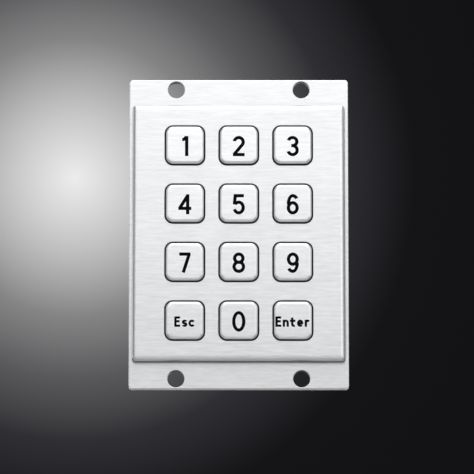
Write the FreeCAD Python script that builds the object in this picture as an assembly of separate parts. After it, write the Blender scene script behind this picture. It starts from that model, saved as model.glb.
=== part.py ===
import FreeCAD, Part
import math
import os

# Panel-mount metal keypad, three columns by four rows of keys.
# Millimetres. X is the width, Z the height, and the keys face -Y.
# The origin is the centre of the four mounting holes, on the flange's rear land (y = 0).

# ---- driving dimensions -------------------------------------------------------------

# mounting flange
FLANGE_W = 77.0
FLANGE_H = 109.5
FLANGE_T = 4.5
FLANGE_CORNER_R = 1.2
FLANGE_EDGE_R = 0.35
HOLE_R = 3.0
HOLE_X = 22.0
HOLE_Z = 51.2
HOLE_RIM_R = 0.15
APERTURE_W = 57.0
APERTURE_H = 81.0
APERTURE_R = 3.0
FRONT_RECESS = 0.25
REAR_RECESS = 0.4
REAR_RECESS_W = 73.2
REAR_RECESS_H = 90.8

# face panel and its gasket
PANEL_W = 74.5
PANEL_H = 90.6
PANEL_T = 2.2
PANEL_CORNER_R = 0.9
PANEL_EDGE_R = 1.9
PANEL_SEAT_GAP = 0.15
GASKET_T = 1.55
GASKET_INSET = 0.25

# keys
KEY_PITCH_X = 18.9
KEY_PITCH_Z = 20.65
KEYS_Z = -0.2
CAP_SIZE = 13.3
CAP_R = 2.5
CAP_PROUD = 1.2
CAP_EDGE_R = 1.0
WINDOW_SIZE = 14.05
WINDOW_R = 2.85
WINDOW_RIM_R = 0.3
LIP_SIZE = 15.6
LIP_R = 3.0
LIP_T = 1.0
KEY_TRAVEL = 1.0
KEY_PIN_R = 1.0
KEY_PIN_LENGTH = 0.55

# engraved legends
ENGRAVING_DEPTH = 0.15
LEGEND_DROP = 0.42
DIGIT_STROKE = 1.18
LETTER_STROKE = 0.82
LETTER_PITCH = 2.5
LETTER_BASELINE = -1.9

# silicone keymat, its domes and their carbon pills
KEYMAT_W = 69.0
KEYMAT_H = 86.6
KEYMAT_T = 1.0
KEYMAT_CORNER_R = 2.0
KEYMAT_HOLE_R = 4.2
DOME_FOOT_R = 5.3
DOME_FOOT_T = 0.35
DOME_FOOT_WIDTH = 0.8
DOME_TOP_R = 3.4
DOME_INNER_TOP_R = 3.0
DOME_WALL = 0.6
DOME_PLUNGER_R = 2.2
DOME_DIMPLE_R = 1.3
DOME_DIMPLE_DEPTH = 0.75
PILL_R = 2.0
PILL_T = 0.6

# circuit board and its contacts
PCB_W = 68.0
PCB_H = 86.0
PCB_T = 1.6
PCB_CORNER_R = 1.0
PAD_R = 2.6
PAD_T = 0.07
PAD_SPLIT = 0.4

# cable header
HEADER_Z = -33.0
HEADER_PITCH = 2.54
HEADER_PINS = 8
HEADER_STANDS = 0.4
HEADER_T = 2.5
HEADER_NOTCH = 0.6
PIN_SIZE = 0.64
PIN_LENGTH = 8.5
PIN_FOOT_LENGTH = 3.0
PIN_FOOT_T = 0.4

# controller chip, a 20-lead small-outline package
CHIP_Z = 4.0
CHIP_L = 12.8
CHIP_W = 7.5
CHIP_H = 2.3
CHIP_STANDS = 0.15
CHIP_CHAMFER = 0.25
CHIP_MARK_R = 0.6
CHIP_MARK_DEPTH = 0.15
CHIP_MARK_INSET = 1.4
CHIP_LEADS_A_SIDE = 10
CHIP_LEAD_PITCH = 1.27
CHIP_LEAD_W = 0.4
CHIP_LEAD_T = 0.25
CHIP_LEAD_RISE = 1.1
CHIP_LEAD_OUT = 0.7
CHIP_LEAD_REACH = 1.5

# small parts
SMALL_PART_W = 1.25
SMALL_PART_L = 2.0
RESISTOR_H = 0.5
RESISTORS_Z = -25.0
CAPACITOR_H = 1.2
CAPACITOR_PLACES = [(-11.0, 6.0), (11.0, 6.0), (-7.5, 18.0), (7.5, 18.0)]
CRYSTAL_Z = 18.0
CRYSTAL_CAN = (11.0, 4.6, 3.3)
CRYSTAL_FOOT = (11.8, 5.4, 0.5)
CRYSTAL_TOP_R = 0.5

# M3 fixings behind the board
STUD_X = 31.0
STUD_Z = 38.0
M3_R = 1.5
STUD_FOOT_R = 2.1
STUD_FOOT_T = 0.6
STUD_PAST_BOARD = 4.0
STUD_CHAMFER = 0.3
STANDOFF_LENGTH = 10.0
STANDOFF_FLATS = 5.5
STANDOFF_BORE = 4.5

# M2.5 countersunk screws that hold the face panel from behind
PANEL_SCREW_R = 1.25
PANEL_SCREW_HEAD_R = 2.35
PANEL_SCREW_HEAD_H = 1.1
PANEL_SCREW_SIDE = (31.5, 20.0)
PANEL_SCREW_END_Z = 42.9
PANEL_SCREW_CROSS = (2.2, 0.6, 0.7)
PANEL_SKIN = 0.9
TIP_CLEARANCE = 0.2

# rear cover with its M3 pan-head screws and washers
COVER_W = 72.6
COVER_H = 90.2
COVER_T = 1.2
COVER_CORNER_R = 3.0
COVER_BEND_R = 2.0
CABLE_WINDOW_W = 26.0
CABLE_WINDOW_H = 8.0
CABLE_WINDOW_R = 1.0
WASHER_T = 0.5
WASHER_R = 3.1
COVER_SCREW_HEAD_R = 2.75
COVER_SCREW_HEAD_H = 1.9
COVER_SCREW_DOME_R = 0.9
COVER_SCREW_CROSS = (3.0, 0.7, 1.1)
COVER_SCREW_REACH = 4.0

# clearance of a hole's radius round a screw, a stud or a stud's foot
SCREW_CLEARANCE = 0.1
BOARD_CLEARANCE = 0.15
COVER_CLEARANCE = 0.2
FOOT_CLEARANCE = 0.3

# half the length of a tool that cuts right through a piece
THROUGH = 40.0

# ---- planes along Y that follow from those ------------------------------------------

Y_FLANGE_FRONT = -FLANGE_T
Y_GASKET_BACK = Y_FLANGE_FRONT + FRONT_RECESS
Y_PANEL_BACK = Y_GASKET_BACK - GASKET_T
Y_PANEL_FRONT = Y_PANEL_BACK - PANEL_T
Y_CAP_FRONT = Y_PANEL_FRONT - CAP_PROUD
Y_LIP_BACK = Y_PANEL_BACK + LIP_T
Y_MAT_FRONT = -REAR_RECESS
Y_PCB_FRONT = Y_MAT_FRONT + KEYMAT_T
Y_PCB_BACK = Y_PCB_FRONT + PCB_T
Y_COVER_INSIDE = Y_PCB_BACK + STANDOFF_LENGTH
Y_COVER_BACK = Y_COVER_INSIDE + COVER_T
Y_PILL_BACK = Y_PCB_FRONT - PAD_T - KEY_TRAVEL
Y_PILL_FRONT = Y_PILL_BACK - PILL_T

STUD_PLACES = [(x, z) for x in (-STUD_X, STUD_X) for z in (-STUD_Z, 0.0, STUD_Z)]
PANEL_SCREW_PLACES = [
    (sx * PANEL_SCREW_SIDE[0], sz * PANEL_SCREW_SIDE[1]) for sx in (-1, 1) for sz in (-1, 1)
] + [(0.0, -PANEL_SCREW_END_Z), (0.0, PANEL_SCREW_END_Z)]
HEADER_PLACES = [(i - (HEADER_PINS - 1) / 2) * HEADER_PITCH for i in range(HEADER_PINS)]

KEY_ROWS = [("1", "2", "3"), ("4", "5", "6"), ("7", "8", "9"), ("esc", "0", "enter")]

# ---- legends: strokes of constant width, as lines and elliptical arcs ---------------
# ("line", x0, z0, x1, z1) is a straight stroke with square ends.
# ("arc", cx, cz, rx, rz, a0, a1) runs counter-clockwise from a0 to a1 degrees.

DIGITS = {
    "0": [("arc", 0, 0, 1.75, 3.03, 0, 360)],
    "1": [("line", 0.63, -3.55, 0.63, 3.55), ("arc", -0.95, 3.93, 1.5, 1.62, 270, 345)],
    "2": [
        ("arc", 0, 1.45, 1.56, 1.58, -40, 170),
        ("line", 1.19, 0.43, -1.55, -2.85),
        ("line", -2.07, -3.03, 2.07, -3.03),
    ],
    "3": [
        ("arc", 0, 1.6, 1.49, 1.43, -90, 163),
        ("arc", 0, -1.43, 1.57, 1.6, -165, 90),
        ("line", -0.5, 0.17, 0.05, 0.17),
    ],
    "4": [
        ("line", 1.0, -3.55, 1.0, 3.55),
        ("line", -2.28, -1.45, 2.28, -1.45),
        ("line", -1.85, -1.5, 1.0, 3.1),
    ],
    "5": [
        ("line", -1.75, 3.03, 1.8, 3.03),
        ("line", -1.25, 3.3, -1.5, -0.1),
        ("arc", -0.03, -1.15, 1.58, 1.87, -162, 142),
    ],
    "6": [
        ("arc", 0, -1.25, 1.53, 1.77, 0, 360),
        ("arc", 0, 0, 1.53, 3.03, 90, 180),
        ("arc", 0, 1.4, 1.5, 1.63, 22, 90),
    ],
    "7": [("line", -1.9, 3.03, 2.02, 3.03), ("line", 1.58, 3.1, -0.5, -3.48)],
    "8": [("arc", 0, 1.58, 1.45, 1.45, 0, 360), ("arc", 0, -1.4, 1.65, 1.63, 0, 360)],
    "9": [
        ("arc", 0, 1.25, 1.53, 1.77, 0, 360),
        ("arc", 0, 0, 1.53, 3.03, 270, 360),
        ("arc", 0, -1.4, 1.5, 1.63, 202, 270),
    ],
}

# letters stand on z = 0
LETTERS = {
    "E": [
        ("line", -0.7, 0, -0.7, 3.65),
        ("line", -0.7, 0.38, 0.95, 0.38),
        ("line", -0.7, 1.95, 0.75, 1.95),
        ("line", -0.7, 3.27, 0.9, 3.27),
    ],
    "s": [("arc", 0, 1.68, 0.56, 0.44, 20, 270), ("arc", 0, 0.81, 0.6, 0.43, -160, 90)],
    "c": [("arc", 0.05, 1.25, 0.8, 0.87, 38, 322)],
    "n": [
        ("line", -0.67, 0, -0.67, 2.5),
        ("arc", 0, 1.3, 0.67, 0.82, 0, 180),
        ("line", 0.67, 0, 0.67, 1.32),
    ],
    "t": [
        ("line", -0.25, 0.8, -0.25, 3.25),
        ("line", -1.05, 2.1, 0.85, 2.1),
        ("arc", 0.42, 0.82, 0.67, 0.44, 180, 290),
    ],
    "e": [("arc", 0, 1.25, 0.69, 0.87, 0, 322), ("line", -0.69, 1.25, 1.05, 1.25)],
    "r": [("line", -0.5, 0, -0.5, 2.5), ("arc", 0.2, 1.3, 0.7, 0.82, 50, 180)],
}
WORDS = {"esc": "Esc", "enter": "Enter"}


# ---- small helpers ------------------------------------------------------------------


def vec(x, y, z):
    return FreeCAD.Vector(x, y, z)


def box(x0, x1, y0, y1, z0, z1):
    return Part.makeBox(x1 - x0, y1 - y0, z1 - z0, vec(x0, y0, z0))


def rod(r, y0, y1, x=0.0, z=0.0):
    return Part.makeCylinder(r, y1 - y0, vec(x, y0, z), vec(0, 1, 0))


def bore(r, x, z):
    """A rod that cuts right through."""
    return rod(r, -THROUGH, THROUGH, x, z)


def cone(r0, r1, y0, y1, x=0.0, z=0.0):
    return Part.makeCone(r0, r1, y1 - y0, vec(x, y0, z), vec(0, 1, 0))


def edges_along_y(shape):
    return [e for e in shape.Edges if abs(abs(e.tangentAt(e.FirstParameter).y) - 1) < 1e-6]


def edges_on(shape, y, inside=lambda x, z: True):
    """The edges that lie in the plane at y and whose middle is inside a region."""
    found = []
    for e in shape.Edges:
        b = e.BoundBox
        if abs(b.YMin - y) < 1e-4 and abs(b.YMax - y) < 1e-4 and inside(b.Center.x, b.Center.z):
            found.append(e)
    return found


def rounded_block(w, h, y0, y1, r, x=0.0, z=0.0):
    """A block with its four edges along Y rounded."""
    block = box(x - w / 2, x + w / 2, y0, y1, z - h / 2, z + h / 2)
    return block.makeFillet(r, edges_along_y(block))


def rounded_opening(w, h, r, x=0.0, z=0.0):
    """A rounded block that cuts right through."""
    return rounded_block(w, h, -THROUGH, THROUGH, r, x, z)


def cut_all(shape, tools):
    return shape.cut(Part.Compound(tools))


def hexagon(flats, y0, y1, x, z):
    """A hexagonal bar along Y, its points to the left and right."""
    r = flats / math.sqrt(3)
    corners = [
        vec(x + r * math.cos(math.radians(60 * i)), y0, z + r * math.sin(math.radians(60 * i)))
        for i in range(7)
    ]
    return Part.Face(Part.makePolygon(corners)).extrude(vec(0, y1 - y0, 0))


def cross_recess(cross, y, x, z):
    """The cross that a driver turns, cut from y inwards; cross is its size, width and depth."""
    size, width, depth = cross
    flat = box(x - size / 2, x + size / 2, y - depth, y + depth, z - width / 2, z + width / 2)
    upright = box(x - width / 2, x + width / 2, y - depth, y + depth, z - size / 2, z + size / 2)
    return flat.fuse(upright)


def save(name, shape):
    if isinstance(shape, list):
        shape = Part.Compound(shape)
    for solid in shape.Solids:
        if not solid.isValid() or solid.Volume <= 0:
            raise RuntimeError("bad solid in " + name)
    shape.exportStep("parts/" + name + ".step")
    print("%-18s solids %3d  volume %10.2f mm3" % (name, len(shape.Solids), shape.Volume))


# ---- legends ------------------------------------------------------------------------


def line_stroke(x0, z0, x1, z1, width):
    """A straight stroke as a flat face in the plane y = 0."""
    length = math.hypot(x1 - x0, z1 - z0)
    nx = -(z1 - z0) / length * width / 2
    nz = (x1 - x0) / length * width / 2
    corners = [(x0 + nx, z0 + nz), (x1 + nx, z1 + nz), (x1 - nx, z1 - nz), (x0 - nx, z0 - nz)]
    points = [vec(x, 0, z) for x, z in corners + corners[:1]]
    return Part.Face(Part.makePolygon(points))


def ellipse_face(cx, cz, rx, rz):
    """A filled ellipse in the plane y = 0, whichever way it is longer."""
    if abs(rx - rz) < 1e-6:
        return Part.Face(Part.Wire(Part.makeCircle(rx, vec(cx, 0, cz), vec(0, 1, 0))))
    centre = vec(cx, 0, cz)
    far = vec(cx + rx, 0, cz) if rx > rz else vec(cx, 0, cz + rz)
    near = vec(cx, 0, cz + rz) if rx > rz else vec(cx + rx, 0, cz)
    return Part.Face(Part.Wire(Part.Ellipse(far, near, centre).toShape()))


def arc_stroke(cx, cz, rx, rz, a0, a1, width):
    """Part of an elliptical ring in the plane y = 0."""
    half = width / 2
    ring = ellipse_face(cx, cz, rx + half, rz + half).cut(ellipse_face(cx, cz, rx - half, rz - half))
    if a1 - a0 >= 360:
        return ring
    reach = 3 * (rx + rz)
    steps = 8
    fan = [vec(cx, 0, cz)]
    for i in range(steps + 1):
        a = math.radians(a0 + (a1 - a0) * i / steps)
        fan.append(vec(cx + reach * math.cos(a) * rx / rz, 0, cz + reach * math.sin(a)))
    return ring.common(Part.Face(Part.makePolygon(fan + fan[:1])))


def stroke_tools(strokes, width, x, z):
    """The cutting solids of one character with its own origin at x, z on the cap's front."""
    tools = []
    for kind, *numbers in strokes:
        face = line_stroke(*numbers, width) if kind == "line" else arc_stroke(*numbers, width)
        face.translate(vec(x, Y_CAP_FRONT - ENGRAVING_DEPTH, z))
        tools.append(face.extrude(vec(0, 2 * ENGRAVING_DEPTH, 0)))
    return tools


def legend_tool(name, x, z):
    """What is milled out of one key's front for its legend."""
    middle = z - LEGEND_DROP
    if name in DIGITS:
        tools = stroke_tools(DIGITS[name], DIGIT_STROKE, x, middle)
    else:
        word = WORDS[name]
        tools = []
        for i, letter in enumerate(word):
            at = x + (i - (len(word) - 1) / 2) * LETTER_PITCH
            tools += stroke_tools(LETTERS[letter], LETTER_STROKE, at, middle + LETTER_BASELINE)
    tool = tools[0]
    if len(tools) > 1:
        tool = tool.fuse(tools[1:])
    return tool.removeSplitter()


# ---- the flange, the face panel and what joins them ---------------------------------


def mounting_flange():
    plate = rounded_block(FLANGE_W, FLANGE_H, Y_FLANGE_FRONT, 0.0, FLANGE_CORNER_R)
    plate = plate.makeFillet(FLANGE_EDGE_R, edges_on(plate, Y_FLANGE_FRONT))
    plate = cut_all(plate, [bore(HOLE_R, sx * HOLE_X, sz * HOLE_Z) for sx in (-1, 1) for sz in (-1, 1)])
    rims = edges_on(plate, Y_FLANGE_FRONT, lambda x, z: HOLE_X - 1 < abs(x) < HOLE_X + 1)
    plate = plate.makeFillet(HOLE_RIM_R, rims)
    seat_w = PANEL_W + 2 * PANEL_SEAT_GAP
    seat_h = PANEL_H + 2 * PANEL_SEAT_GAP
    seat_r = PANEL_CORNER_R + PANEL_SEAT_GAP
    tools = [
        rounded_block(seat_w, seat_h, -THROUGH, Y_GASKET_BACK, seat_r),
        rounded_block(REAR_RECESS_W, REAR_RECESS_H, Y_MAT_FRONT, THROUGH, COVER_CORNER_R),
        rounded_opening(APERTURE_W, APERTURE_H, APERTURE_R),
    ]
    sink_front = Y_MAT_FRONT - PANEL_SCREW_HEAD_H
    for x, z in PANEL_SCREW_PLACES:
        tools.append(bore(PANEL_SCREW_R + SCREW_CLEARANCE, x, z))
        tools.append(cone(PANEL_SCREW_R, PANEL_SCREW_HEAD_R, sink_front, Y_MAT_FRONT, x, z))
    return cut_all(plate, tools)


def face_gasket():
    w = PANEL_W - 2 * GASKET_INSET
    h = PANEL_H - 2 * GASKET_INSET
    sheet = rounded_block(w, h, Y_PANEL_BACK, Y_GASKET_BACK, PANEL_CORNER_R)
    tools = [bore(PANEL_SCREW_R + SCREW_CLEARANCE, x, z) for x, z in PANEL_SCREW_PLACES]
    tools.append(rounded_opening(APERTURE_W, APERTURE_H, APERTURE_R))
    return cut_all(sheet, tools)


def face_panel(keys):
    panel = rounded_block(PANEL_W, PANEL_H, Y_PANEL_FRONT, Y_PANEL_BACK, PANEL_CORNER_R)
    panel = panel.makeFillet(PANEL_EDGE_R, edges_on(panel, Y_PANEL_FRONT))
    windows = [rounded_opening(WINDOW_SIZE, WINDOW_SIZE, WINDOW_R, x, z) for _, x, z in keys]
    panel = cut_all(panel, windows)
    inside_x = PANEL_W / 2 - 2 * PANEL_EDGE_R
    inside_z = PANEL_H / 2 - 2 * PANEL_EDGE_R
    rims = edges_on(panel, Y_PANEL_FRONT, lambda x, z: abs(x) < inside_x and abs(z) < inside_z)
    panel = panel.makeFillet(WINDOW_RIM_R, rims)
    blind = Y_PANEL_FRONT + PANEL_SKIN
    return cut_all(panel, [rod(PANEL_SCREW_R, blind, THROUGH, x, z) for x, z in PANEL_SCREW_PLACES])


def panel_screw(x, z):
    head_front = Y_MAT_FRONT - PANEL_SCREW_HEAD_H
    tip = Y_PANEL_FRONT + PANEL_SKIN + TIP_CLEARANCE
    screw = cone(PANEL_SCREW_R, PANEL_SCREW_HEAD_R, head_front, Y_MAT_FRONT, x, z)
    screw = screw.fuse(rod(PANEL_SCREW_R, tip, head_front, x, z))
    return screw.cut(cross_recess(PANEL_SCREW_CROSS, Y_MAT_FRONT, x, z))


# ---- keys, domes and pills ----------------------------------------------------------


def key(name, x, z):
    cap = rounded_block(CAP_SIZE, CAP_SIZE, Y_CAP_FRONT, Y_PANEL_BACK, CAP_R, x, z)
    cap = cap.makeFillet(CAP_EDGE_R, edges_on(cap, Y_CAP_FRONT))
    lip = rounded_block(LIP_SIZE, LIP_SIZE, Y_PANEL_BACK, Y_LIP_BACK, LIP_R, x, z)
    pin = rod(KEY_PIN_R, Y_LIP_BACK, Y_LIP_BACK + KEY_PIN_LENGTH, x, z)
    body = cap.fuse([lip, pin]).removeSplitter()
    return body.cut(legend_tool(name, x, z))


def dome(x, z):
    """A silicone dome: a foot on the keymat, a sloping skirt, and a plunger for the pill."""
    floor = Y_LIP_BACK + DOME_DIMPLE_DEPTH
    roof = Y_LIP_BACK + DOME_WALL
    profile = [
        (0, floor),
        (DOME_DIMPLE_R, floor),
        (DOME_DIMPLE_R, Y_LIP_BACK),
        (DOME_TOP_R, Y_LIP_BACK),
        (DOME_FOOT_R, Y_MAT_FRONT - DOME_FOOT_T),
        (DOME_FOOT_R, Y_MAT_FRONT),
        (DOME_FOOT_R - DOME_FOOT_WIDTH, Y_MAT_FRONT),
        (DOME_INNER_TOP_R, roof),
        (DOME_PLUNGER_R, roof),
        (DOME_PLUNGER_R, Y_PILL_FRONT),
        (0, Y_PILL_FRONT),
    ]
    points = [vec(x + r, y, z) for r, y in profile]
    face = Part.Face(Part.makePolygon(points + points[:1]))
    return face.revolve(vec(x, 0, z), vec(0, 1, 0), 360)


def pill(x, z):
    return rod(PILL_R, Y_PILL_FRONT, Y_PILL_BACK, x, z)


def keymat(keys):
    sheet = rounded_block(KEYMAT_W, KEYMAT_H, Y_MAT_FRONT, Y_PCB_FRONT, KEYMAT_CORNER_R)
    tools = [bore(KEYMAT_HOLE_R, x, z) for _, x, z in keys]
    tools += [bore(STUD_FOOT_R + FOOT_CLEARANCE, x, z) for x, z in STUD_PLACES]
    return cut_all(sheet, tools)


# ---- circuit board and what is soldered to it ---------------------------------------


def pcb():
    board = rounded_block(PCB_W, PCB_H, Y_PCB_FRONT, Y_PCB_BACK, PCB_CORNER_R)
    return cut_all(board, [bore(M3_R + BOARD_CLEARANCE, x, z) for x, z in STUD_PLACES])


def contact_pads(keys):
    """Two gold half-discs under each pill, which the pill joins."""
    halves = []
    half_split = PAD_SPLIT / 2
    for _, x, z in keys:
        disc = rod(PAD_R, Y_PCB_FRONT - PAD_T, Y_PCB_FRONT, x, z)
        slot = box(x - half_split, x + half_split, -THROUGH, THROUGH, z - 2 * PAD_R, z + 2 * PAD_R)
        halves += disc.cut(slot).Solids
    return halves


def pin_post(x):
    half = PIN_SIZE / 2
    return box(x - half, x + half, Y_PCB_BACK, Y_PCB_BACK + PIN_LENGTH, HEADER_Z - half, HEADER_Z + half)


def header_strip():
    """The header's insulator, notched between its pins."""
    half = HEADER_PINS * HEADER_PITCH / 2
    side = HEADER_PITCH / 2
    front = Y_PCB_BACK + HEADER_STANDS
    strip = box(-half, half, front, front + HEADER_T, HEADER_Z - side, HEADER_Z + side)
    tools = [pin_post(x) for x in HEADER_PLACES]
    for x in HEADER_PLACES[:-1]:
        for sz in (-1, 1):
            r = HEADER_NOTCH / 2
            notch = box(-r, r, -THROUGH, THROUGH, -r, r)
            notch.rotate(vec(0, 0, 0), vec(0, 1, 0), 45)
            notch.translate(vec(x + HEADER_PITCH / 2, 0, HEADER_Z + sz * side))
            tools.append(notch)
    return cut_all(strip, tools)


def header_pins():
    """Square pins with a foot each, turned to alternate sides."""
    pins = []
    half = PIN_SIZE / 2
    for i, x in enumerate(HEADER_PLACES):
        side = 1 if i % 2 else -1
        z0, z1 = sorted((HEADER_Z, HEADER_Z + side * PIN_FOOT_LENGTH))
        foot = box(x - half, x + half, Y_PCB_BACK, Y_PCB_BACK + PIN_FOOT_T, z0, z1)
        pins.append(pin_post(x).fuse(foot).removeSplitter())
    return pins


def controller_chip():
    y0 = Y_PCB_BACK + CHIP_STANDS
    y1 = y0 + CHIP_H
    half_l = CHIP_L / 2
    half_w = CHIP_W / 2
    body = box(-half_l, half_l, y0, y1, CHIP_Z - half_w, CHIP_Z + half_w)
    body = body.makeChamfer(CHIP_CHAMFER, edges_on(body, y1))
    mark_x = CHIP_MARK_INSET - half_l
    mark_z = CHIP_Z + CHIP_MARK_INSET - half_w
    return body.cut(rod(CHIP_MARK_R, y1 - CHIP_MARK_DEPTH, THROUGH, mark_x, mark_z))


def chip_leads():
    """Gull-wing leads, each one bent strip."""
    leads = []
    edge = CHIP_W / 2
    y0 = Y_PCB_BACK
    t = CHIP_LEAD_T
    outline = [
        (edge, y0 + CHIP_LEAD_RISE),
        (edge + CHIP_LEAD_OUT, y0 + CHIP_LEAD_RISE),
        (edge + CHIP_LEAD_OUT, y0),
        (edge + CHIP_LEAD_REACH, y0),
        (edge + CHIP_LEAD_REACH, y0 + t),
        (edge + CHIP_LEAD_OUT + t, y0 + t),
        (edge + CHIP_LEAD_OUT + t, y0 + CHIP_LEAD_RISE + t),
        (edge, y0 + CHIP_LEAD_RISE + t),
    ]
    for side in (-1, 1):
        for i in range(CHIP_LEADS_A_SIDE):
            x = (i - (CHIP_LEADS_A_SIDE - 1) / 2) * CHIP_LEAD_PITCH - CHIP_LEAD_W / 2
            points = [vec(x, y, CHIP_Z + side * z) for z, y in outline]
            face = Part.Face(Part.makePolygon(points + points[:1]))
            leads.append(face.extrude(vec(CHIP_LEAD_W, 0, 0)))
    return leads


def small_part(x, z, height):
    w = SMALL_PART_W / 2
    h = SMALL_PART_L / 2
    return box(x - w, x + w, Y_PCB_BACK, Y_PCB_BACK + height, z - h, z + h)


def resistors():
    """A row of eight, one in each line from the header."""
    return [small_part(x, RESISTORS_Z, RESISTOR_H) for x in HEADER_PLACES]


def capacitors():
    return [small_part(x, z, CAPACITOR_H) for x, z in CAPACITOR_PLACES]


def crystal():
    foot_w, foot_h, foot_t = CRYSTAL_FOOT
    can_w, can_h, can_t = CRYSTAL_CAN
    y0 = Y_PCB_BACK + foot_t
    y1 = y0 + can_t
    can = rounded_block(can_w, can_h, y0, y1, 0.49 * can_h, 0.0, CRYSTAL_Z)
    can = can.makeFillet(CRYSTAL_TOP_R, edges_on(can, y1))
    foot = rounded_block(foot_w, foot_h, Y_PCB_BACK, y0, 0.48 * foot_h, 0.0, CRYSTAL_Z)
    return can.fuse(foot)


# ---- studs, standoffs, rear cover and its screws ------------------------------------


def weld_stud(x, z):
    """A threaded stud welded to the flange, with its broad foot."""
    end = Y_PCB_BACK + STUD_PAST_BOARD
    foot = rod(STUD_FOOT_R, Y_MAT_FRONT, Y_MAT_FRONT + STUD_FOOT_T, x, z)
    shank = rod(M3_R, Y_MAT_FRONT, end, x, z)
    shank = shank.makeChamfer(STUD_CHAMFER, edges_on(shank, end))
    return foot.fuse(shank)


def standoff(x, z):
    bar = hexagon(STANDOFF_FLATS, Y_PCB_BACK, Y_COVER_INSIDE, x, z)
    near = rod(M3_R, Y_PCB_BACK, Y_PCB_BACK + STANDOFF_BORE, x, z)
    far = rod(M3_R, Y_COVER_INSIDE - STANDOFF_BORE, Y_COVER_INSIDE, x, z)
    return cut_all(bar, [near, far])


def rear_cover():
    """A drawn tray: a back wall with four sides that stand on the flange."""
    outer = rounded_block(COVER_W, COVER_H, Y_MAT_FRONT, Y_COVER_BACK, COVER_CORNER_R)
    outer = outer.makeFillet(COVER_BEND_R, edges_on(outer, Y_COVER_BACK))
    inner_w = COVER_W - 2 * COVER_T
    inner_h = COVER_H - 2 * COVER_T
    inner = rounded_block(inner_w, inner_h, -THROUGH, Y_COVER_INSIDE, COVER_CORNER_R - COVER_T)
    inner = inner.makeFillet(COVER_BEND_R - COVER_T, edges_on(inner, Y_COVER_INSIDE))
    tools = [inner]
    tools += [bore(M3_R + COVER_CLEARANCE, x, z) for x, z in STUD_PLACES]
    tools.append(rounded_opening(CABLE_WINDOW_W, CABLE_WINDOW_H, CABLE_WINDOW_R, 0.0, HEADER_Z))
    return cut_all(outer, tools)


def cover_washer(x, z):
    ring = rod(WASHER_R, Y_COVER_BACK, Y_COVER_BACK + WASHER_T, x, z)
    return ring.cut(bore(M3_R + SCREW_CLEARANCE, x, z))


def cover_screw(x, z):
    y0 = Y_COVER_BACK + WASHER_T
    y1 = y0 + COVER_SCREW_HEAD_H
    head = rod(COVER_SCREW_HEAD_R, y0, y1, x, z)
    head = head.makeFillet(COVER_SCREW_DOME_R, edges_on(head, y1))
    head = head.cut(cross_recess(COVER_SCREW_CROSS, y1, x, z))
    return head.fuse(rod(M3_R, Y_COVER_INSIDE - COVER_SCREW_REACH, y0, x, z))


# ---- write every piece --------------------------------------------------------------


def key_places():
    places = []
    for row, names in enumerate(KEY_ROWS):
        for column, name in enumerate(names):
            places.append((name, (column - 1) * KEY_PITCH_X, KEYS_Z + (1.5 - row) * KEY_PITCH_Z))
    return places


def main():
    os.makedirs("parts", exist_ok=True)
    keys = key_places()
    save("mounting_flange", mounting_flange())
    save("face_gasket", face_gasket())
    save("face_panel", face_panel(keys))
    save("panel_screws", [panel_screw(x, z) for x, z in PANEL_SCREW_PLACES])
    for name, x, z in keys:
        save("key_" + name, key(name, x, z))
        save("dome_" + name, dome(x, z))
        save("pill_" + name, pill(x, z))
    save("keymat", keymat(keys))
    save("pcb", pcb())
    save("contact_pads", contact_pads(keys))
    save("header_strip", header_strip())
    save("header_pins", header_pins())
    save("controller_chip", controller_chip())
    save("chip_leads", chip_leads())
    save("resistors", resistors())
    save("capacitors", capacitors())
    save("crystal", crystal())
    save("weld_studs", [weld_stud(x, z) for x, z in STUD_PLACES])
    save("standoffs", [standoff(x, z) for x, z in STUD_PLACES])
    save("rear_cover", rear_cover())
    save("cover_washers", [cover_washer(x, z) for x, z in STUD_PLACES])
    save("cover_screws", [cover_screw(x, z) for x, z in STUD_PLACES])


main()
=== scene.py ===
# %% [markdown]
# A panel-mount metal keypad: a raised stainless face panel with twelve engraved keys, on a
# wider stainless flange with four bolt holes. Behind the flange sit a silicone keymat, a
# circuit board and a sheet-metal cover.
#
# The CAD model is the frame: every size here is read from it, or is one of its dimensions
# in metres. This lesson gives each visible piece its finish, and rebuilds the pieces that
# the CAD only blocks in: legends, screws, washers, domes, contacts and small components.

# %% Load the frame
import math

import bmesh
import bpy
from mathutils import Matrix, Vector


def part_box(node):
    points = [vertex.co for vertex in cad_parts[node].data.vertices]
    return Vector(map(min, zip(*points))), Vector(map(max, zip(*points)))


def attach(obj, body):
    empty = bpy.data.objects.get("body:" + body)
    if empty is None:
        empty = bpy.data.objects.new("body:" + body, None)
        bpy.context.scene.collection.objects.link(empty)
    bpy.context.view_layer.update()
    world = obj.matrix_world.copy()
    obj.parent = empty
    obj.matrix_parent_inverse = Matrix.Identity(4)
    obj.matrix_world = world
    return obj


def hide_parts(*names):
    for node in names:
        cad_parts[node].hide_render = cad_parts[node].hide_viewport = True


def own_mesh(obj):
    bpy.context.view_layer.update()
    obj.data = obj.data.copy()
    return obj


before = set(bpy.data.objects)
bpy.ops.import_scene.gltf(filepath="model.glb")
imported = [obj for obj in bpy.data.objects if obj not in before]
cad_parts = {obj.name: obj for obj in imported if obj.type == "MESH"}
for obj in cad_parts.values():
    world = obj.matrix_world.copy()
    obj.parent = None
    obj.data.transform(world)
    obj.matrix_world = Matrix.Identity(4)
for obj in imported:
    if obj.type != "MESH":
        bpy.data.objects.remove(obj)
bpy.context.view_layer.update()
MM = 0.001

# %% [markdown]
# Sizes. The driving ones come from the boxes of the CAD nodes, so the keys, screws and
# contacts land where the CAD puts them.

# %% Read the places of things
KEY_NAMES = ["1", "2", "3", "4", "5", "6", "7", "8", "9", "esc", "0", "enter"]


def middle(node):
    low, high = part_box(node)
    return (low + high) / 2


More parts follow.
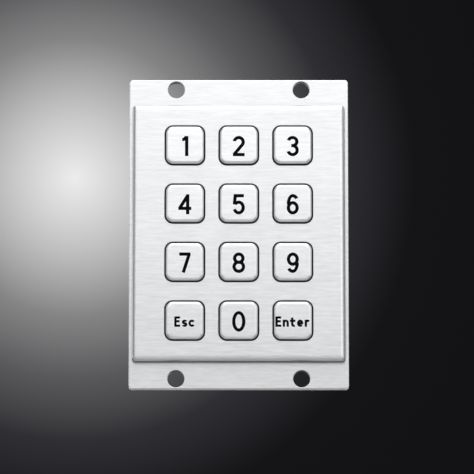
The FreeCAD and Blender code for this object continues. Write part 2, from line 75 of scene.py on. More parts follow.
KEY_CENTRE = {name: middle("key_" + name) for name in KEY_NAMES}
CAP_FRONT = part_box("key_5")[0].y
PANEL_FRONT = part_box("face_panel")[0].y
DOME_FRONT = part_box("dome_5")[0].y
DOME_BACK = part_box("dome_5")[1].y
BOARD_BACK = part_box("pcb")[1].y

# %% [markdown]
# Two small helpers carry all the shader and geometry trees. Colours are written as sRGB
# hex, the way a designer picks them, and turned to the linear values a renderer adds up.
# One function adds a node: settings are attributes, inputs are values or links.

# %% Node and colour helpers


def linear(hex_colour):
    channels = [int(hex_colour[i : i + 2], 16) / 255 for i in (1, 3, 5)]
    values = [c / 12.92 if c <= 0.04045 else ((c + 0.055) / 1.055) ** 2.4 for c in channels]
    return (*values, 1.0)


def add(tree, kind, inputs=None, **settings):
    node = tree.nodes.new(kind)
    for key, value in settings.items():
        setattr(node, key, value)
    for key, value in (inputs or {}).items():
        if isinstance(value, bpy.types.NodeSocket):
            tree.links.new(value, node.inputs[key])
        else:
            node.inputs[key].default_value = value
    return node


def start_material(name):
    material = bpy.data.materials.new(name)
    material.use_nodes = True
    return material, material.node_tree, material.node_tree.nodes["Principled BSDF"]


def object_coordinates(tree, grain_mm):
    """Object coordinates divided by a grain size along each axis, in millimetres."""
    place = add(tree, "ShaderNodeTexCoord").outputs["Object"]
    scale = tuple(1 / (g * MM) for g in grain_mm)
    return add(tree, "ShaderNodeMapping", {"Vector": place, "Scale": scale}).outputs["Vector"]


def blend_colours(tree, factor, low, high):
    mix = add(tree, "ShaderNodeMix", data_type="RGBA")
    tree.links.new(factor, mix.inputs["Factor"])
    mix.inputs["A"].default_value = linear(low)
    mix.inputs["B"].default_value = linear(high)
    return mix.outputs["Result"]


def spread(tree, value, low, high, source=(0.3, 0.7)):
    """Maps a noise value onto a range of roughness or height."""
    inputs = {"Value": value, "From Min": source[0], "From Max": source[1], "To Min": low, "To Max": high}
    return add(tree, "ShaderNodeMapRange", inputs).outputs["Result"]


# %% [markdown]
# Brushed 304 stainless. A belt drags grit along the sheet, so the surface is a field of
# fine parallel scratches. Each one is far narrower than a tenth of a millimetre, too fine
# for the picture, so the streaks are drawn coarser, 0.34 mm wide and 3.4 mm long, with a
# second, broader set for the uneven pressure of the belt and soft clouds in the gloss. The
# scratches also stretch highlights across the grain, which is what the anisotropy does.
#
# Little light gets down the seams round the keys and under the face panel, so shade is painted
# into the steel there: it darkens with depth where it lies inside one. The punched walls of the
# windows and bolt holes get a dark grey steel, which is painted shade too.

# %% Brushed stainless steel
STREAK_MM = (3.4, 0.34, 0.34)
KEY_STREAK_MM = (2.2, 0.3, 0.3)
BELT_MM = (9.0, 0.9, 0.9)
CLOUD_MM = (22.0, 22.0, 16.0)
SCRATCH_DEPTH = 0.012 * MM
SCRATCH_STRENGTH = 0.35
ANISOTROPY = 0.45
QUARTER_TURN = 0.25


def brushed_stainless(name, dark, light, roughness, streak_mm=STREAK_MM):
    material, tree, shader = start_material(name)
    fine = add(tree, "ShaderNodeTexNoise", {
        "Vector": object_coordinates(tree, streak_mm), "Scale": 1.0, "Detail": 3.0, "Roughness": 0.6,
    }).outputs["Fac"]
    belt = add(tree, "ShaderNodeTexNoise", {
        "Vector": object_coordinates(tree, BELT_MM), "Scale": 1.0, "Detail": 2.0,
    }).outputs["Fac"]
    cloud = add(tree, "ShaderNodeTexNoise", {
        "Vector": object_coordinates(tree, CLOUD_MM), "Scale": 1.0, "Detail": 2.0,
    }).outputs["Fac"]
    both = add(tree, "ShaderNodeMath", {0: fine, 1: belt}, operation="ADD").outputs[0]
    grain = add(tree, "ShaderNodeMath", {0: both, 1: 0.5}, operation="MULTIPLY").outputs[0]
    tree.links.new(blend_colours(tree, spread(tree, grain, 0, 1), dark, light), shader.inputs["Base Color"])
    rough = spread(tree, fine, roughness - 0.05, roughness + 0.05)
    smear = spread(tree, cloud, -0.02, 0.03)
    total = add(tree, "ShaderNodeMath", {0: rough, 1: smear}, operation="ADD").outputs[0]
    tree.links.new(total, shader.inputs["Roughness"])
    shader.inputs["Metallic"].default_value = 1.0
    shader.inputs["Anisotropic"].default_value = ANISOTROPY
    shader.inputs["Anisotropic Rotation"].default_value = QUARTER_TURN
    tangent = add(tree, "ShaderNodeTangent", direction_type="RADIAL", axis="Z").outputs["Tangent"]
    tree.links.new(tangent, shader.inputs["Tangent"])
    bump = add(tree, "ShaderNodeBump", {
        "Height": fine, "Strength": SCRATCH_STRENGTH, "Distance": SCRATCH_DEPTH,
    })
    tree.links.new(bump.outputs["Normal"], shader.inputs["Normal"])
    return material


def paint_shade_below(material, y0, y1, tone):
    """Painted shade: darkens a material from depth y0 to depth y1, where it lies inside a gap."""
    tree = material.node_tree
    base = tree.nodes["Principled BSDF"].inputs["Base Color"]
    place = add(tree, "ShaderNodeTexCoord").outputs["Object"]
    depth = add(tree, "ShaderNodeSeparateXYZ", {"Vector": place}).outputs["Y"]
    share = add(tree, "ShaderNodeMapRange", {
        "Value": depth, "From Min": y0, "From Max": y1,
    }).outputs["Result"]
    mix = add(tree, "ShaderNodeMix", {"B": linear(tone)}, data_type="RGBA")
    tree.links.new(share, mix.inputs["Factor"])
    tree.links.new(base.links[0].from_socket, mix.inputs["A"])
    tree.links.new(mix.outputs["Result"], base)


STEEL_FLANGE = brushed_stainless("brushed_304_stainless_flange", "#DEDFE0", "#F3F4F5", 0.36)
STEEL_PANEL = brushed_stainless("brushed_304_stainless_panel", "#DEDFE0", "#F3F4F5", 0.36)
STEEL_KEY = brushed_stainless("brushed_304_stainless_key", "#E1E2E3", "#F5F6F7", 0.33, KEY_STREAK_MM)
# Painted shade in the seams: the keys' outer edges and the face panel's edges go dark with depth.
KEY_SEAM_PAINTED_SHADE = (PANEL_FRONT - 0.8 * MM, PANEL_FRONT - 0.1 * MM)
PANEL_SEAM_PAINTED_SHADE = (PANEL_FRONT + 0.95 * MM, PANEL_FRONT + 1.6 * MM)
paint_shade_below(STEEL_KEY, *KEY_SEAM_PAINTED_SHADE, "#1E1E20")
paint_shade_below(STEEL_PANEL, *PANEL_SEAM_PAINTED_SHADE, "#101011")
# Painted shade: a dark grey steel for the walls of the windows and bolt holes.
PAINTED_SHADE_EDGE = brushed_stainless("punched_304_stainless_edge_painted_shade", "#262626", "#303030", 0.5)

# %% [markdown]
# Moulded and plated finishes. Rubber and silicone are matte with a faint mould texture;
# zinc plate is satin with soft cloudy patches where the bath left it thicker; gold flash,
# tin and nickel are thin bright coats. One function serves the plain ones, because they
# differ only in colour, gloss and the size of their texture.

# %% Plain finishes with a fine texture


def textured(name, dark, light, metallic, roughness, grain_mm, bump_mm, vary=0.06):
    material, tree, shader = start_material(name)
    noise = add(tree, "ShaderNodeTexNoise", {
        "Vector": object_coordinates(tree, (grain_mm,) * 3), "Scale": 1.0, "Detail": 4.0, "Roughness": 0.55,
    }).outputs["Fac"]
    tree.links.new(blend_colours(tree, spread(tree, noise, 0, 1), dark, light), shader.inputs["Base Color"])
    tree.links.new(spread(tree, noise, roughness - vary, roughness + vary), shader.inputs["Roughness"])
    shader.inputs["Metallic"].default_value = metallic
    bump = add(tree, "ShaderNodeBump", {"Height": noise, "Strength": 0.5, "Distance": bump_mm * MM})
    tree.links.new(bump.outputs["Normal"], shader.inputs["Normal"])
    return material


ZINC_SHEET = textured("zinc_plated_sheet_steel", "#B6BABD", "#C8CBCE", 1.0, 0.38, 6.0, 0.006, 0.04)
ZINC_SCREW = textured("bright_zinc_screw", "#B9BDC1", "#D6D8DA", 1.0, 0.24, 0.8, 0.004)
STAINLESS_TURNED = textured("turned_stainless", "#B6B6B4", "#CFCFCD", 1.0, 0.3, 0.5, 0.004)
NICKEL_BRASS = textured("nickel_plated_brass", "#B9B3A4", "#D0CBBE", 1.0, 0.22, 1.0, 0.003)
GOLD_FLASH = textured("gold_flash_on_nickel", "#C9A24A", "#E2C06A", 1.0, 0.26, 0.6, 0.002)
TIN_PLATE = textured("tin_plated_lead", "#B5B8BA", "#D2D4D5", 1.0, 0.35, 0.4, 0.004)
GASKET_RUBBER = textured("moulded_black_rubber", "#141414", "#1F1F1F", 0.0, 0.72, 0.5, 0.01)
CARBON_RUBBER = textured("carbon_loaded_rubber", "#0D0D0E", "#18181A", 0.0, 0.62, 0.2, 0.006)
HEADER_PLASTIC = textured("moulded_black_nylon", "#121213", "#1C1C1E", 0.0, 0.5, 0.3, 0.006)
CHIP_EPOXY = textured("moulded_chip_epoxy", "#1B1B1D", "#27272A", 0.0, 0.6, 0.12, 0.006)
RESISTOR_GLAZE = textured("black_glazed_alumina", "#101014", "#1A1A20", 0.0, 0.25, 0.3, 0.002)
CAPACITOR_CERAMIC = textured("fired_tan_ceramic", "#8A6A48", "#A5835C", 0.0, 0.5, 0.2, 0.004)
CRYSTAL_CAN = textured("drawn_nickel_can", "#B8B8B6", "#D8D8D6", 1.0, 0.2, 2.0, 0.003)
LEGEND_PAINT = textured("black_filled_paint", "#020202", "#060606", 0.0, 0.7, 0.25, 0.004)
LEGEND_PAINT.node_tree.nodes["Principled BSDF"].inputs["Specular IOR Level"].default_value = 0.06

# %% [markdown]
# Silicone rubber lets some light in, so it gets a little subsurface scatter and the soft
# grey of a keymat.

# %% Silicone
SILICONE = textured("moulded_grey_silicone", "#8B8F92", "#A0A4A6", 0.0, 0.55, 1.2, 0.01)
silicone_shader = SILICONE.node_tree.nodes["Principled BSDF"]
silicone_shader.inputs["Subsurface Weight"].default_value = 0.25
silicone_shader.inputs["Subsurface Scale"].default_value = 1.0 * MM
silicone_shader.inputs["IOR"].default_value = 1.41

# %% [markdown]
# The board is glass cloth in epoxy under a green solder mask. The weave, about 0.5 mm a
# thread, shows faintly through the mask, so two crossed waves give it a shallow relief.

# %% Solder mask on glass epoxy
WEAVE_MM = 0.5 * 2 * math.pi
MOTTLE_MM = 8.0
WEAVE_DEPTH = 0.01 * MM


def solder_mask(name, dark, light):
    material, tree, shader = start_material(name)
    coordinates = object_coordinates(tree, (WEAVE_MM,) * 3)
    warp = add(tree, "ShaderNodeTexWave", {"Vector": coordinates, "Scale": 1.0}, bands_direction="X")
    weft = add(tree, "ShaderNodeTexWave", {"Vector": coordinates, "Scale": 1.0}, bands_direction="Z")
    weave = add(
        tree, "ShaderNodeMath", {0: warp.outputs["Fac"], 1: weft.outputs["Fac"]}, operation="MULTIPLY"
    )
    mottle = add(tree, "ShaderNodeTexNoise", {
        "Vector": object_coordinates(tree, (MOTTLE_MM,) * 3), "Scale": 1.0,
    })
    tree.links.new(
        blend_colours(tree, spread(tree, mottle.outputs["Fac"], 0, 1), dark, light),
        shader.inputs["Base Color"],
    )
    tree.links.new(spread(tree, weave.outputs[0], 0.24, 0.34, (0, 1)), shader.inputs["Roughness"])
    bump = add(tree, "ShaderNodeBump", {
        "Height": weave.outputs[0], "Strength": 0.3, "Distance": WEAVE_DEPTH,
    })
    tree.links.new(bump.outputs["Normal"], shader.inputs["Normal"])
    return material


MASK_GREEN = solder_mask("green_solder_mask", "#0C4A24", "#15602F")
TRACK_GREEN = solder_mask("masked_copper_track", "#1F7A3E", "#2A8C49")

# %% [markdown]
# Pieces whose CAD shape is right keep it. The CAD mesh is loose triangles, which shade as
# flats, so the big metal pieces get a welded copy: joined corners, smooth shading up to
# the sharp edges, and normals weighted by face area, so a wide flat stays flat right up to
# the rounded edge beside it. The walls of the windows and bolt holes get dark grey steel,
# which is painted shade.

# %% Weld a copy of a CAD node
SMOOTH_ANGLE = math.radians(35)
WELD = 0.0005 * MM


def placed(name, data):
    """A new object in the scene that shows a mesh, lamp or camera."""
    thing = bpy.data.objects.new(name, data)
    bpy.context.scene.collection.objects.link(thing)
    return thing


def closed_mesh(shape, name):
    """A bmesh as a mesh whose faces point outwards."""
    bmesh.ops.recalc_face_normals(shape, faces=shape.faces)
    mesh = bpy.data.meshes.new(name)
    shape.to_mesh(mesh)
    shape.free()
    return mesh


def new_piece(name, mesh, body, material, replaced=()):
    """Makes a finished mesh a piece that rides on a body."""
    piece = placed(name, mesh)
    mesh.materials.clear()
    mesh.materials.append(material)
    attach(piece, body)
    if replaced:
        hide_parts(*replaced)
    return piece


def evaluated_mesh(holder):
    """The mesh that an object's modifiers make, as plain data; the object itself goes."""
    bpy.context.view_layer.update()
    graph = bpy.context.evaluated_depsgraph_get()
    mesh = bpy.data.meshes.new_from_object(holder.evaluated_get(graph), depsgraph=graph)
    holder.modifiers.clear()
    bpy.data.objects.remove(holder)
    return mesh


def smooth_by_area(mesh, angle=SMOOTH_ANGLE):
    """Smooth shading with sharp edges kept and flat faces left flat."""
    mesh.shade_smooth()
    mesh.set_sharp_from_angle(angle=angle)
    holder = placed("smoothing", mesh)
    weighted = holder.modifiers.new("weighted", "WEIGHTED_NORMAL")
    weighted.keep_sharp = True
    weighted.weight = 100
    return evaluated_mesh(holder)


def welded(node, name, body, material):
    shape = bmesh.new()
    shape.from_mesh(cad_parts[node].data)
    bmesh.ops.remove_doubles(shape, verts=shape.verts, dist=WELD)
    mesh = bpy.data.meshes.new(name)
    shape.to_mesh(mesh)
    shape.free()
    mesh.attributes.remove(mesh.attributes["custom_normal"])
    return new_piece(name, smooth_by_area(mesh), body, material, [node])


flange = welded("mounting_flange", "flange_plate", "housing", STEEL_FLANGE)
panel = welded("face_panel", "face_plate", "housing", STEEL_PANEL)
HALF_WINDOW = 8.0 * MM
HOLE_X = 22.0 * MM
HOLE_Z = 51.2 * MM
HOLE_REACH = 3.1 * MM
SQUARE_TO_FACE = 0.1


def in_window(centre):
    corner_key = KEY_CENTRE["3"]
    return abs(centre.x) < corner_key.x + HALF_WINDOW and abs(centre.z) < corner_key.z + HALF_WINDOW


def in_hole(centre):
    return math.hypot(abs(centre.x) - HOLE_X, abs(centre.z) - HOLE_Z) < HOLE_REACH


# The window and hole walls take the dark grey steel: painted shade for the dark gaps.
for plate, punched in ((panel, in_window), (flange, in_hole)):
    plate.data.materials.append(PAINTED_SHADE_EDGE)
    for polygon in plate.data.polygons:
        if abs(polygon.normal.y) < SQUARE_TO_FACE and punched(polygon.center):
            polygon.material_index = 1
cover = welded("rear_cover", "rear_tray", "housing", ZINC_SHEET)
crystal = welded("crystal", "crystal_can", "housing", CRYSTAL_CAN)
for key in KEY_NAMES:
    welded("key_" + key, "keycap_" + key, "button_" + key, STEEL_KEY)
print("welded: flange %d faces, panel %d faces" % (len(flange.data.polygons), len(panel.data.polygons)))

# %% [markdown]
# CAD nodes that stay as they are only need their finish.

# %% Finish the plain CAD nodes


def finish_node(node, material):
    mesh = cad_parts[node].data
    mesh.materials.clear()
    mesh.materials.append(material)


finish_node("face_gasket", GASKET_RUBBER)
finish_node("keymat", SILICONE)
finish_node("pcb", MASK_GREEN)
finish_node("header_strip", HEADER_PLASTIC)
finish_node("controller_chip", CHIP_EPOXY)
for key in KEY_NAMES:
    finish_node("pill_" + key, CARBON_RUBBER)

# %% [markdown]
# Legends. On the real keys they are etched 0.15 mm deep and filled with black paint. The
# CAD cuts the grooves; here the same strokes, a hair narrower, make the paint, which stops
# just below the face. A stroke is a line or part of an ellipse, swept to a constant width,
# and the strokes of one legend are joined into one closed solid.

# %% Strokes of the digits and letters
# ("line", x0, z0, x1, z1) and ("arc", cx, cz, rx, rz, from, to), in mm and degrees.
DIGITS = {
    "0": [("arc", 0, 0, 1.75, 3.03, 0, 360)],
    "1": [("line", 0.63, -3.55, 0.63, 3.55), ("arc", -0.95, 3.93, 1.5, 1.62, 270, 345)],
    "2": [
        ("arc", 0, 1.45, 1.56, 1.58, -40, 170),
        ("line", 1.19, 0.43, -1.55, -2.85),
        ("line", -2.07, -3.03, 2.07, -3.03),
    ],
    "3": [
        ("arc", 0, 1.6, 1.49, 1.43, -90, 163),
        ("arc", 0, -1.43, 1.57, 1.6, -165, 90),
        ("line", -0.5, 0.17, 0.05, 0.17),
    ],
    "4": [
        ("line", 1.0, -3.55, 1.0, 3.55),
        ("line", -2.28, -1.45, 2.28, -1.45),
        ("line", -1.85, -1.5, 1.0, 3.1),
    ],
    "5": [
        ("line", -1.75, 3.03, 1.8, 3.03),
        ("line", -1.25, 3.3, -1.5, -0.1),
        ("arc", -0.03, -1.15, 1.58, 1.87, -162, 142),
    ],
    "6": [
        ("arc", 0, -1.25, 1.53, 1.77, 0, 360),
        ("arc", 0, 0, 1.53, 3.03, 90, 180),
        ("arc", 0, 1.4, 1.5, 1.63, 22, 90),
    ],
    "7": [("line", -1.9, 3.03, 2.02, 3.03), ("line", 1.58, 3.1, -0.5, -3.48)],
    "8": [("arc", 0, 1.58, 1.45, 1.45, 0, 360), ("arc", 0, -1.4, 1.65, 1.63, 0, 360)],
    "9": [
        ("arc", 0, 1.25, 1.53, 1.77, 0, 360),
        ("arc", 0, 0, 1.53, 3.03, 270, 360),
        ("arc", 0, -1.4, 1.5, 1.63, 202, 270),
    ],
}
LETTERS = {
    "E": [
        ("line", -0.7, 0, -0.7, 3.65),
        ("line", -0.7, 0.38, 0.95, 0.38),
        ("line", -0.7, 1.95, 0.75, 1.95),
        ("line", -0.7, 3.27, 0.9, 3.27),
    ],
    "s": [("arc", 0, 1.68, 0.56, 0.44, 20, 270), ("arc", 0, 0.81, 0.6, 0.43, -160, 90)],
    "c": [("arc", 0.05, 1.25, 0.8, 0.87, 38, 322)],
    "n": [
        ("line", -0.67, 0, -0.67, 2.5),
        ("arc", 0, 1.3, 0.67, 0.82, 0, 180),
        ("line", 0.67, 0, 0.67, 1.32),
    ],
    "t": [
        ("line", -0.25, 0.8, -0.25, 3.25),
        ("line", -1.05, 2.1, 0.85, 2.1),
        ("arc", 0.42, 0.82, 0.67, 0.44, 180, 290),
    ],
    "e": [("arc", 0, 1.25, 0.69, 0.87, 0, 322), ("line", -0.69, 1.25, 1.05, 1.25)],
    "r": [("line", -0.5, 0, -0.5, 2.5), ("arc", 0.2, 1.3, 0.7, 0.82, 50, 180)],
}
WORDS = {"esc": "Esc", "enter": "Enter"}

# %% [markdown]
# A stroke's two sides are drawn first, then closed into a prism. Strokes that meet are
# merged by a boolean union, so a legend has no faces left inside it.

# %% Turn strokes into a closed solid
ENGRAVING_DEPTH = 0.15 * MM
GROOVE_CLEAR = 0.002 * MM
PAINT_BELOW_FACE = 0.03 * MM
PAINT_CLEAR = 0.004
DIGIT_STROKE = 1.18
LETTER_STROKE = 0.82
LETTER_PITCH = 2.5
LETTER_BASELINE = -1.9
LEGEND_DROP = 0.42
STROKE_STEP = 10


def stroke_sides(stroke, width):
    """Points along a stroke's two sides, in mm, and whether it closes on itself."""
    half = width / 2 - PAINT_CLEAR
    kind, *n = stroke
    if kind == "line":
        start = Vector((n[0], n[1]))
        end = Vector((n[2], n[3]))
        along = (end - start).normalized()
        across = Vector((-along.y, along.x)) * half
        start += along * PAINT_CLEAR
        end -= along * PAINT_CLEAR
        return [start + across, end + across], [start - across, end - across], False
    cx, cz, rx, rz, a0, a1 = n
    closed = a1 - a0 >= 360
    steps = max(4, round((a1 - a0) / STROKE_STEP))
    angles = [math.radians(a0 + (a1 - a0) * i / steps) for i in range(steps + (not closed))]
    outer = [Vector((cx + (rx + half) * math.cos(a), cz + (rz + half) * math.sin(a))) for a in angles]
    inner = [Vector((cx + (rx - half) * math.cos(a), cz + (rz - half) * math.sin(a))) for a in angles]
    return outer, inner, closed


def stroke_solid(stroke, width, at, front, back):
    """One stroke as a closed prism between two planes along Y."""
    outer, inner, closed = stroke_sides(stroke, width)
    shape = bmesh.new()
    rings = []
    for y in (front, back):
        for side in (outer, inner):
            rings.append([shape.verts.new(((at[0] + p.x) * MM, y, (at[1] + p.y) * MM)) for p in side])
    outer_front, inner_front, outer_back, inner_back = rings
    count = len(outer)
    for i in range(count if closed else count - 1):
        j = (i + 1) % count
        shape.faces.new((outer_front[i], outer_front[j], inner_front[j], inner_front[i]))
        shape.faces.new((outer_back[j], outer_back[i], inner_back[i], inner_back[j]))
        shape.faces.new((outer_front[j], outer_front[i], outer_back[i], outer_back[j]))
        shape.faces.new((inner_front[i], inner_front[j], inner_back[j], inner_back[i]))
    if not closed:
        for i in (0, count - 1):
            shape.faces.new((outer_front[i], inner_front[i], inner_back[i], outer_back[i]))
    return closed_mesh(shape, "stroke")


def union(meshes):
    """The union of closed meshes as one mesh."""
    holders = [placed("part", mesh) for mesh in meshes]
    for other in holders[1:]:
        joined = holders[0].modifiers.new("join", "BOOLEAN")
        joined.operation = "UNION"
        joined.solver = "EXACT"
        joined.object = other
    result = evaluated_mesh(holders[0])
    for other in holders[1:]:
        bpy.data.objects.remove(other)
    return result


# %% [markdown]
# The paint sits a little below the face and reaches the bottom of its groove.

# %% Paint the twelve legends


def legend_mesh(name):
    centre = KEY_CENTRE[name]
    x, z = centre.x / MM, centre.z / MM - LEGEND_DROP
    front = CAP_FRONT + PAINT_BELOW_FACE
    back = CAP_FRONT + ENGRAVING_DEPTH - GROOVE_CLEAR
    if name in DIGITS:
        return union([stroke_solid(s, DIGIT_STROKE, (x, z), front, back) for s in DIGITS[name]])
    word = WORDS[name]
    solids = []
    for i, letter in enumerate(word):
        at = (x + (i - (len(word) - 1) / 2) * LETTER_PITCH, z + LETTER_BASELINE)
        solids += [stroke_solid(s, LETTER_STROKE, at, front, back) for s in LETTERS[letter]]
    return union(solids)


for key in KEY_NAMES:
    legend = new_piece(
        "legend_" + key, legend_mesh(key), "button_" + key, LEGEND_PAINT
    )
print("legends painted; the last has %d faces" % len(legend.data.polygons))

# %% [markdown]
# Domes. A silicone dome has two parts that move differently: the skirt, which buckles
# between the mat and the key, and the plunger in its middle, which goes in with the key
# and carries the carbon pill. Here the skirt rides on the housing, and the plunger rides
# on the key. Both are turned shapes: a profile spun about the key's axis.

# %% Spin a profile about an axis along Y
SPIN_STEPS = 48


def spun(name, profile, x, z, angle=SMOOTH_ANGLE, steps=SPIN_STEPS):
    """A closed solid from (radius, y) points, in metres, that start and end on the axis
    or close on themselves."""
    shape = bmesh.new()
    rings = []
    for r, y in profile:
        if r < 1e-9:
            rings.append([shape.verts.new((x, y, z))])
            continue
        turns = [2 * math.pi * i / steps for i in range(steps)]
        rings.append([shape.verts.new((x + r * math.cos(a), y, z + r * math.sin(a))) for a in turns])
    on_axis = profile[0][0] < 1e-9
    pairs = list(zip(rings, rings[1:] if on_axis else rings[1:] + rings[:1]))
    for low, high in pairs:
        for i in range(steps):
            j = (i + 1) % steps
            corners = [low[i % len(low)], low[j % len(low)], high[j % len(high)], high[i % len(high)]]
            shape.faces.new(list(dict.fromkeys(corners)))
    return smooth_by_area(closed_mesh(shape, name), angle)


PLUNGER_R = 2.2 * MM
DIMPLE_R = 1.3 * MM
DIMPLE_DEPTH = 0.75 * MM
SKIRT_TOP_R = 3.4 * MM
SKIRT_FOOT_R = 5.3 * MM
SKIRT_FOOT_WIDTH = 0.8 * MM
SKIRT_WALL = 0.6 * MM
SKIRT_TOP_LIP = 0.4 * MM
SHOULDER = (0.25 * MM, 0.15 * MM)
FOOT_RIM = (0.2 * MM, 0.6 * MM, 0.35 * MM)
PLUNGER_CHAMFER = 0.15 * MM
PILL_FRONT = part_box("pill_5")[0].y
SOFT_GAP = 0.02 * MM

for key in KEY_NAMES:
    cx, cz = KEY_CENTRE[key].x, KEY_CENTRE[key].z
    skirt_profile = [
        (PLUNGER_R + SOFT_GAP, DOME_FRONT),
        (SKIRT_TOP_R, DOME_FRONT),
        (SKIRT_TOP_R + SHOULDER[0], DOME_FRONT + SHOULDER[1]),
        (SKIRT_FOOT_R - FOOT_RIM[0], DOME_BACK - FOOT_RIM[1]),
        (SKIRT_FOOT_R, DOME_BACK - FOOT_RIM[2]),
        (SKIRT_FOOT_R, DOME_BACK),
        (SKIRT_FOOT_R - SKIRT_FOOT_WIDTH, DOME_BACK),
        (SKIRT_TOP_R - SKIRT_TOP_LIP, DOME_FRONT + SKIRT_WALL),
        (PLUNGER_R + SOFT_GAP, DOME_FRONT + SKIRT_WALL),
    ]
    skirt = new_piece(
        "dome_skirt_" + key, spun("skirt", skirt_profile, cx, cz), "housing", SILICONE,
        ["dome_" + key],
    )
    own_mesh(skirt)
    plunger_profile = [
        (0, DOME_FRONT + DIMPLE_DEPTH),
        (DIMPLE_R, DOME_FRONT + DIMPLE_DEPTH),
        (DIMPLE_R, DOME_FRONT),
        (PLUNGER_R, DOME_FRONT),
        (PLUNGER_R, PILL_FRONT - PLUNGER_CHAMFER),
        (PLUNGER_R - PLUNGER_CHAMFER, PILL_FRONT),
        (0, PILL_FRONT),
    ]
    new_piece(
        "dome_plunger_" + key, spun("plunger", plunger_profile, cx, cz), "button_" + key, SILICONE,
    )

# %% [markdown]
# What repeats is placed by Geometry Nodes. The tree below puts copies of one prototype on
# a grid in the XZ plane: named inputs give the columns, rows, pitches and centre, and a
# seed turns each copy about its own axis by a random amount, as screws end up after they
# are driven. The copies are realised and given their material, then read back as a mesh.

# %% A grid of copies


def grid_tree():
    tree = bpy.data.node_groups.new("grid_of_copies", "GeometryNodeTree")
    face = tree.interface
    for name, kind in (
        ("Prototype", "NodeSocketObject"),
        ("Columns", "NodeSocketInt"),
        ("Rows", "NodeSocketInt"),
        ("Column pitch", "NodeSocketFloat"),
        ("Row pitch", "NodeSocketFloat"),
        ("Centre", "NodeSocketVector"),
        ("Turn", "NodeSocketFloat"),
        ("Seed", "NodeSocketInt"),
        ("Material", "NodeSocketMaterial"),
    ):
        face.new_socket(name, in_out="INPUT", socket_type=kind)
    face.new_socket("Geometry", in_out="OUTPUT", socket_type="NodeSocketGeometry")
    given = add(tree, "NodeGroupInput").outputs

    def span(count, pitch):
        gaps = add(tree, "ShaderNodeMath", {0: given[count], 1: 1.0}, operation="SUBTRACT").outputs[0]
        return add(tree, "ShaderNodeMath", {0: gaps, 1: given[pitch]}, operation="MULTIPLY").outputs[0]

    grid = add(tree, "GeometryNodeMeshGrid", {
        "Size X": span("Columns", "Column pitch"),
        "Size Y": span("Rows", "Row pitch"),
        "Vertices X": given["Columns"],
        "Vertices Y": given["Rows"],
    })
    upright = add(tree, "GeometryNodeTransform", {
        "Geometry": grid.outputs["Mesh"],
        "Translation": given["Centre"],
        "Rotation": (math.pi / 2, 0, 0),
    })
    angle = add(
        tree, "FunctionNodeRandomValue", {"Max": given["Turn"], "Seed": given["Seed"]}, data_type="FLOAT"
    )
    turn = add(tree, "ShaderNodeCombineXYZ", {"Y": angle.outputs["Value"]})
    shown = add(tree, "GeometryNodeObjectInfo", {"Object": given["Prototype"]}, transform_space="ORIGINAL")
    copies = add(tree, "GeometryNodeInstanceOnPoints", {
        "Points": upright.outputs["Geometry"],
        "Instance": shown.outputs["Geometry"],
        "Rotation": turn.outputs["Vector"],
    })
    real = add(tree, "GeometryNodeRealizeInstances", {"Geometry": copies.outputs["Instances"]})
    coloured = add(tree, "GeometryNodeSetMaterial", {
        "Geometry": real.outputs["Geometry"],
        "Material": given["Material"],
    })
    add(tree, "NodeGroupOutput", {"Geometry": coloured.outputs["Geometry"]})
    return tree


GRID = grid_tree()


def grid_of(prototype, columns, rows, column_pitch, row_pitch, centre, material, turn=0.0, seed=1):
    """A mesh of copies of a prototype mesh that is drawn round the world's origin."""
    pattern = placed("prototype", prototype)
    holder = placed("grid", bpy.data.meshes.new("grid"))
    modifier = holder.modifiers.new("grid", "NODES")
    modifier.node_group = GRID
    values = {
        "Prototype": pattern,
        "Columns": columns,
        "Rows": rows,
        "Column pitch": column_pitch,
        "Row pitch": row_pitch,
        "Centre": centre,
        "Turn": turn,
        "Seed": seed,
        "Material": material,
    }
    for item in GRID.interface.items_tree:
        if item.in_out == "INPUT":
            modifier[item.identifier] = values[item.name]
    mesh = evaluated_mesh(holder)
    bpy.data.objects.remove(pattern)
    return mesh


# %% [markdown]
# Screws and studs. Their threads are a helix: the radius falls and rises once for every
# pitch along the shank, and the pattern turns with the angle. M3 has a pitch of 0.5 mm and
# a thread about 0.3 mm deep. The head is a pan with a crossed recess that tapers inwards.

# %% Threaded shanks
THREAD_PITCH = 0.5 * MM
THREAD_DEPTH = 0.28 * MM
THREAD_STEPS = 24
SAMPLES_PER_PITCH = 4


def threaded_shank(name, radius, y0, y1, depth=THREAD_DEPTH):
    """A threaded rod along Y on the world's axis, closed at both ends."""
    shape = bmesh.new()
    levels = round((y1 - y0) / THREAD_PITCH * SAMPLES_PER_PITCH)
    rings = []
    for level in range(levels + 1):
        y = y0 + (y1 - y0) * level / levels
        ring = []
        for i in range(THREAD_STEPS):
            share = i / THREAD_STEPS
            phase = (y / THREAD_PITCH - share) % 1.0
            taper = min(1.0, (y1 - y) / THREAD_PITCH, (y - y0) / THREAD_PITCH)
            r = radius - depth * (1 - taper + taper * abs(2 * phase - 1))
            a = 2 * math.pi * share
            ring.append(shape.verts.new((r * math.cos(a), y, r * math.sin(a))))
        rings.append(ring)
    for low, high in zip(rings, rings[1:]):
        for i in range(THREAD_STEPS):
            j = (i + 1) % THREAD_STEPS
            shape.faces.new((low[i], low[j], high[j], high[i]))
    shape.faces.new(rings[0])
    shape.faces.new(rings[-1])
    mesh = closed_mesh(shape, name)
    mesh.shade_smooth()
    return mesh


def joined(name, meshes):
    """Several meshes as one, each left whole."""
    shape = bmesh.new()
    for mesh in meshes:
        shape.from_mesh(mesh)
    result = bpy.data.meshes.new(name)
    shape.to_mesh(result)
    shape.free()
    return result


# %% [markdown]
# A head is a turned profile with a tapering cross cut out of it.

# %% Heads with a crossed recess
CROSS_TAPER = 0.55
CUTTER_OVERSHOOT = 0.3
SHOULDER_STEPS = 8
M3_CROSS = (3.0 * MM, 0.75 * MM, 1.1 * MM)
M25_CROSS = (2.2 * MM, 0.6 * MM, 0.7 * MM)


